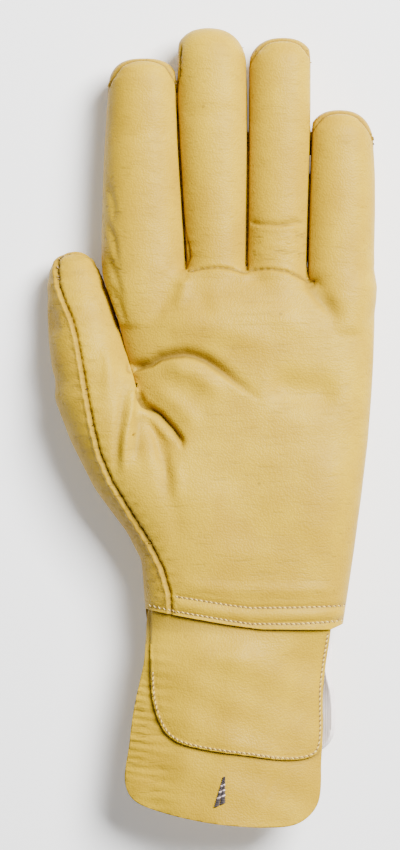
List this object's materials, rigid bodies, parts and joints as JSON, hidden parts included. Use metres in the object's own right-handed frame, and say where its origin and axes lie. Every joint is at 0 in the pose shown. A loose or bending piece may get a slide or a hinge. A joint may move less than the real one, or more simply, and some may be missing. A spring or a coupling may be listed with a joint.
{
  "type": "electrical insulating glove",
  "caption": "Leather over-glove for electrical work, left hand, palm up, with separately sewn fingers, a wing thumb and a long wrist flap with a keyhole buttonhole.",
  "frame": {"origin": "centre of the glove's bounding box in plan, at the level of the surface on which its back lies", "axes": "+X towards the little-finger side, +Y towards the fingertips, +Z out of the palm"},
  "size_m": [0.1187, 0.287, 0.034],
  "materials": {
    "palm_leather": "smooth siliconised grain leather, satin",
    "back_leather": "smooth siliconised grain leather, satin",
    "lining": "matte off-white knitted lining",
    "elastic": "matte woven elastic tape",
    "sewing_thread": "waxed yellow sewing thread",
    "buttonhole_thread": "dark brown-grey buttonhole thread"
  },
  "bodies": {
    "hand": {"palm_panel": "palm_leather", "back_panel": "back_leather", "index_middle_crotch": "palm_leather", "middle_ring_crotch": "palm_leather", "ring_little_crotch": "palm_leather", "hem_stitches_upper": "sewing_thread", "hem_stitches_lower": "sewing_thread", "wrist_elastic": "elastic", "elastic_stitches": "sewing_thread", "back_cuff": "back_leather", "cuff_lining": "lining", "cuff_stitches": "sewing_thread"},
    "index_lower": {"index_front_lower": "palm_leather", "index_back_lower": "back_leather", "index_middle_strip_lower": "palm_leather"},
    "index_upper": {"index_front_upper": "palm_leather", "index_back_upper": "back_leather", "index_middle_strip_upper": "palm_leather"},
    "middle_lower": {"middle_front_lower": "palm_leather", "middle_back_lower": "back_leather", "middle_index_strip_lower": "palm_leather", "middle_ring_strip_lower": "palm_leather"},
    "middle_upper": {"middle_front_upper": "palm_leather", "middle_back_upper": "back_leather", "middle_index_strip_upper": "palm_leather", "middle_ring_strip_upper": "palm_leather"},
    "ring_lower": {"ring_front_lower": "palm_leather", "ring_back_lower": "back_leather", "ring_middle_strip_lower": "palm_leather", "ring_little_strip_lower": "palm_leather"},
    "ring_upper": {"ring_front_upper": "palm_leather", "ring_back_upper": "back_leather", "ring_middle_strip_upper": "palm_leather", "ring_little_strip_upper": "palm_leather"},
    "little_lower": {"little_front_lower": "palm_leather", "little_back_lower": "back_leather", "little_ring_strip_lower": "palm_leather"},
    "little_upper": {"little_front_upper": "palm_leather", "little_back_upper": "back_leather", "little_ring_strip_upper": "palm_leather"},
    "thumb_lower": {"thumb_front_lower": "palm_leather", "thumb_back_lower": "back_leather"},
    "thumb_upper": {"thumb_front_upper": "palm_leather", "thumb_back_upper": "back_leather"},
    "flap": {"artery_flap": "palm_leather", "flap_patch": "palm_leather", "patch_stitches": "sewing_thread", "buttonhole_thread": "buttonhole_thread"}
  },
  "joints": [
    {"name": "index_base_bend", "type": "hinge", "parent": "hand", "child": "index_lower", "pos_m": [-0.0261, 0.0572, 0.0267], "axis": [1, 0, 0], "range_deg": [0, 60]},
    {"name": "index_knuckle_bend", "type": "hinge", "parent": "index_lower", "child": "index_upper", "pos_m": [-0.0261, 0.083, 0.02609], "axis": [1, 0, 0], "range_deg": [0, 75]},
    {"name": "middle_base_bend", "type": "hinge", "parent": "hand", "child": "middle_lower", "pos_m": [0.0002, 0.0572, 0.0247], "axis": [1, 0, 0], "range_deg": [0, 60]},
    {"name": "middle_knuckle_bend", "type": "hinge", "parent": "middle_lower", "child": "middle_upper", "pos_m": [0.0002, 0.085, 0.025], "axis": [1, 0, 0], "range_deg": [0, 75]},
    {"name": "ring_base_bend", "type": "hinge", "parent": "hand", "child": "ring_lower", "pos_m": [0.024, 0.0572, 0.0245], "axis": [1, 0, 0], "range_deg": [0, 60]},
    {"name": "ring_knuckle_bend", "type": "hinge", "parent": "ring_lower", "child": "ring_upper", "pos_m": [0.024, 0.082, 0.02454], "axis": [1, 0, 0], "range_deg": [0, 75]},
    {"name": "little_base_bend", "type": "hinge", "parent": "hand", "child": "little_lower", "pos_m": [0.0473, 0.0522, 0.0251], "axis": [1, 0, 0], "range_deg": [0, 60]},
    {"name": "little_knuckle_bend", "type": "hinge", "parent": "little_lower", "child": "little_upper", "pos_m": [0.0473, 0.072, 0.02483], "axis": [1, 0, 0], "range_deg": [0, 75]},
    {"name": "thumb_base_bend", "type": "hinge", "parent": "hand", "child": "thumb_lower", "pos_m": [-0.0272, 0, 0.0325], "axis": [0, 1, 0], "range_deg": [0, 40]},
    {"name": "thumb_knuckle_bend", "type": "hinge", "parent": "thumb_lower", "child": "thumb_upper", "pos_m": [-0.0469, 0.036, 0.0277], "axis": [0.9854, 0.1702, 0], "range_deg": [0, 45]},
    {"name": "flap_lift", "type": "hinge", "parent": "hand", "child": "flap", "pos_m": [0.01, -0.0712, 0.0335], "axis": [-1, 0, 0], "range_deg": [0, 90]}
  ]
}
